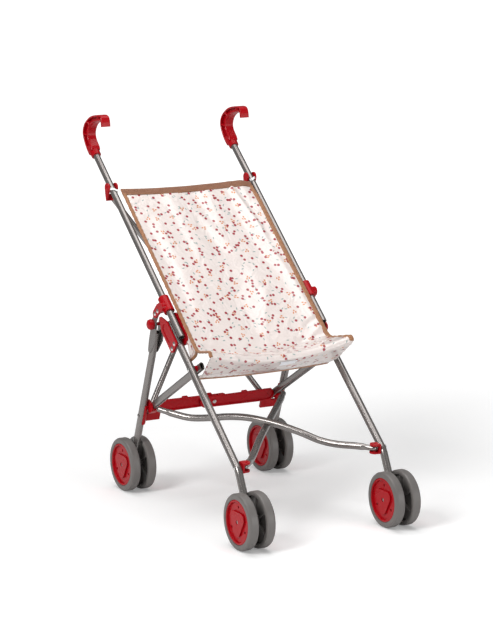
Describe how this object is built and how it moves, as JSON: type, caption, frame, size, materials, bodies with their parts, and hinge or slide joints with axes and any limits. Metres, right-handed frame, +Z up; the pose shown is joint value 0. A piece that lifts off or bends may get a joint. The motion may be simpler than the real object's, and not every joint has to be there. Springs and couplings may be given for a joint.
{
  "type": "doll stroller",
  "caption": "Folding umbrella-style toy stroller for a doll: leaning tube side frames with hook grips, crossed braces, jointed lock bar, twin wheels and a printed fabric sling seat.",
  "frame": {"origin": "middle of the underside of the whole stroller, on the floor", "axes": "X runs across from the left to the right side as seen from behind, Y from the front wheels to the grips, Z up"},
  "size_m": [0.2766, 0.5575, 0.5562],
  "materials": {
    "tube": "satin silver-grey coat",
    "plate": "satin grey",
    "red_plastic": "moulded, glossy red",
    "foot": "moulded, satin grey",
    "wheel": "moulded, satin warm grey",
    "screw": "bright plated",
    "axle": "plain",
    "webbing": "woven tape",
    "cloth": "coated print cloth, glossy"
  },
  "bodies": {
    "left_side": {"left_handle_tube": "tube", "left_grip": "red_plastic", "left_front_leg": "tube", "left_front_foot": "foot", "left_upper_clamp": "red_plastic", "left_hinge_outer_plate": "red_plastic", "left_hinge_inner_plate": "red_plastic", "left_link_plate": "plate", "left_knob": "red_plastic", "left_frame_screws": "screw", "left_rail_bush": "red_plastic", "left_strap_loop": "webbing", "seat_sling": "cloth"},
    "left_rear_leg": {"left_rear_leg": "tube", "left_rear_foot": "foot", "left_rear_bracket": "red_plastic"},
    "left_lock_bar": {"left_lock_bar": "red_plastic"},
    "left_top_cap": {"left_top_cap": "red_plastic"},
    "left_rear_brace": {"left_rear_brace": "tube"},
    "left_seat_rail": {"left_seat_rail": "tube"},
    "left_elbow": {"left_elbow": "red_plastic"},
    "left_lower_brace": {"left_lower_brace": "tube"},
    "front_left_wheels": {"front_left_outer_wheel": "wheel", "front_left_inner_wheel": "wheel", "front_left_hub_caps": "red_plastic", "front_left_axle": "axle"},
    "rear_left_wheels": {"rear_left_outer_wheel": "wheel", "rear_left_inner_wheel": "wheel", "rear_left_hub_caps": "red_plastic", "rear_left_axle": "axle"},
    "right_side": {"right_handle_tube": "tube", "right_grip": "red_plastic", "right_front_leg": "tube", "right_front_foot": "foot", "right_upper_clamp": "red_plastic", "right_hinge_outer_plate": "red_plastic", "right_hinge_inner_plate": "red_plastic", "right_link_plate": "plate", "right_knob": "red_plastic", "right_frame_screws": "screw", "right_rail_bush": "red_plastic", "right_strap_loop": "webbing"},
    "right_rear_leg": {"right_rear_leg": "tube", "right_rear_foot": "foot", "right_rear_bracket": "red_plastic"},
    "right_lock_bar": {"right_lock_bar": "red_plastic"},
    "right_top_cap": {"right_top_cap": "red_plastic"},
    "right_rear_brace": {"right_rear_brace": "tube"},
    "right_seat_rail": {"right_seat_rail": "tube"},
    "right_elbow": {"right_elbow": "red_plastic"},
    "right_lower_brace": {"right_lower_brace": "tube"},
    "front_right_wheels": {"front_right_outer_wheel": "wheel", "front_right_inner_wheel": "wheel", "front_right_hub_caps": "red_plastic", "front_right_axle": "axle"},
    "rear_right_wheels": {"rear_right_outer_wheel": "wheel", "rear_right_inner_wheel": "wheel", "rear_right_hub_caps": "red_plastic", "rear_right_axle": "axle"}
  },
  "joints": [
    {"name": "fold", "type": "slide", "parent": "left_side", "child": "right_side", "axis": [-1, 0, 0], "range_m": [0, 0.165], "deforming": ["seat_sling"]},
    {"name": "left_rear_leg_swing", "type": "hinge", "parent": "left_side", "child": "left_rear_leg", "pos_m": [-0.118, 0.03456, 0.26788], "axis": [1, 0, 0], "range_deg": [-63, 0]},
    {"name": "left_lock_bar_turn", "type": "hinge", "parent": "left_rear_leg", "child": "left_lock_bar", "pos_m": [-0.092, 0.08541, 0.13103], "axis": [0, 0.9374, 0.3483], "range_deg": [0, 84.07]},
    {"name": "left_cap_turn", "type": "hinge", "parent": "left_side", "child": "left_top_cap", "pos_m": [-0.118, 0.18343, 0.44828], "axis": [1, 0, 0], "range_deg": [-24.25, 0]},
    {"name": "left_rear_brace_swing", "type": "hinge", "parent": "left_top_cap", "child": "left_rear_brace", "pos_m": [-0.113, 0.19258, 0.43308], "axis": [0, 0.9572, -0.2893], "range_deg": [0, 26.12]},
    {"name": "left_rail_swing", "type": "hinge", "parent": "left_side", "child": "left_seat_rail", "pos_m": [-0.118, -0.06899, 0.22016], "axis": [1, 0, 0], "range_deg": [0, 66.46]},
    {"name": "left_elbow_turn", "type": "hinge", "parent": "left_side", "child": "left_elbow", "pos_m": [-0.105, -0.20381, 0.10703], "axis": [1, 0, 0], "range_deg": [0, 30.39]},
    {"name": "left_lower_brace_swing", "type": "hinge", "parent": "left_elbow", "child": "left_lower_brace", "pos_m": [-0.105, -0.20381, 0.10703], "axis": [0, -0.1033, 0.9946], "range_deg": [0, 31]},
    {"name": "front_left_wheel_spin", "type": "hinge", "parent": "left_side", "child": "front_left_wheels", "pos_m": [-0.118, -0.23877, 0.04], "axis": [1, 0, 0], "continuous": true},
    {"name": "rear_left_wheel_spin", "type": "hinge", "parent": "left_rear_leg", "child": "rear_left_wheels", "pos_m": [-0.118, 0.11923, 0.04], "axis": [1, 0, 0], "continuous": true},
    {"name": "right_rear_leg_swing", "type": "hinge", "parent": "right_side", "child": "right_rear_leg", "pos_m": [0.118, 0.03456, 0.26788], "axis": [1, 0, 0], "range_deg": [-63, 0]},
    {"name": "right_lock_bar_turn", "type": "hinge", "parent": "right_rear_leg", "child": "right_lock_bar", "pos_m": [0.092, 0.08541, 0.13103], "axis": [0, 0.9374, 0.3483], "range_deg": [-84.07, 0]},
    {"name": "right_cap_turn", "type": "hinge", "parent": "right_side", "child": "right_top_cap", "pos_m": [0.118, 0.18343, 0.44828], "axis": [1, 0, 0], "range_deg": [-24.51, 0]},
    {"name": "right_rear_brace_swing", "type": "hinge", "parent": "right_top_cap", "child": "right_rear_brace", "pos_m": [0.113, 0.20225, 0.43016], "axis": [0, 0.9572, -0.2893], "range_deg": [-26.12, 0]},
    {"name": "right_rail_swing", "type": "hinge", "parent": "right_side", "child": "right_seat_rail", "pos_m": [0.118, -0.06899, 0.22016], "axis": [1, 0, 0], "range_deg": [0, 66.46]},
    {"name": "right_elbow_turn", "type": "hinge", "parent": "right_side", "child": "right_elbow", "pos_m": [0.105, -0.20381, 0.10703], "axis": [1, 0, 0], "range_deg": [0, 30.39]},
    {"name": "right_lower_brace_swing", "type": "hinge", "parent": "right_elbow", "child": "right_lower_brace", "pos_m": [0.105, -0.20381, 0.10703], "axis": [0, -0.1033, 0.9946], "range_deg": [-31, 0]},
    {"name": "front_right_wheel_spin", "type": "hinge", "parent": "right_side", "child": "front_right_wheels", "pos_m": [0.118, -0.23877, 0.04], "axis": [1, 0, 0], "continuous": true},
    {"name": "rear_right_wheel_spin", "type": "hinge", "parent": "right_rear_leg", "child": "rear_right_wheels", "pos_m": [0.118, 0.11923, 0.04], "axis": [1, 0, 0], "continuous": true}
  ],
  "couplings": [
    {"joint": "left_rear_leg_swing", "follows": "fold", "rad_per_m": -6.664},
    {"joint": "left_lock_bar_turn", "follows": "fold", "rad_per_m": 8.893},
    {"joint": "left_cap_turn", "follows": "fold", "rad_per_m": -2.5647},
    {"joint": "left_rear_brace_swing", "follows": "fold", "rad_per_m": 2.7625},
    {"joint": "left_rail_swing", "follows": "fold", "rad_per_m": 7.0294},
    {"joint": "left_elbow_turn", "follows": "fold", "rad_per_m": 3.2143},
    {"joint": "left_lower_brace_swing", "follows": "fold", "rad_per_m": 3.2791},
    {"joint": "right_rear_leg_swing", "follows": "fold", "rad_per_m": -6.664},
    {"joint": "right_lock_bar_turn", "follows": "fold", "rad_per_m": -8.893},
    {"joint": "right_cap_turn", "follows": "fold", "rad_per_m": -2.5924},
    {"joint": "right_rear_brace_swing", "follows": "fold", "rad_per_m": -2.7625},
    {"joint": "right_rail_swing", "follows": "fold", "rad_per_m": 7.0294},
    {"joint": "right_elbow_turn", "follows": "fold", "rad_per_m": 3.2143},
    {"joint": "right_lower_brace_swing", "follows": "fold", "rad_per_m": -3.2791}
  ]
}
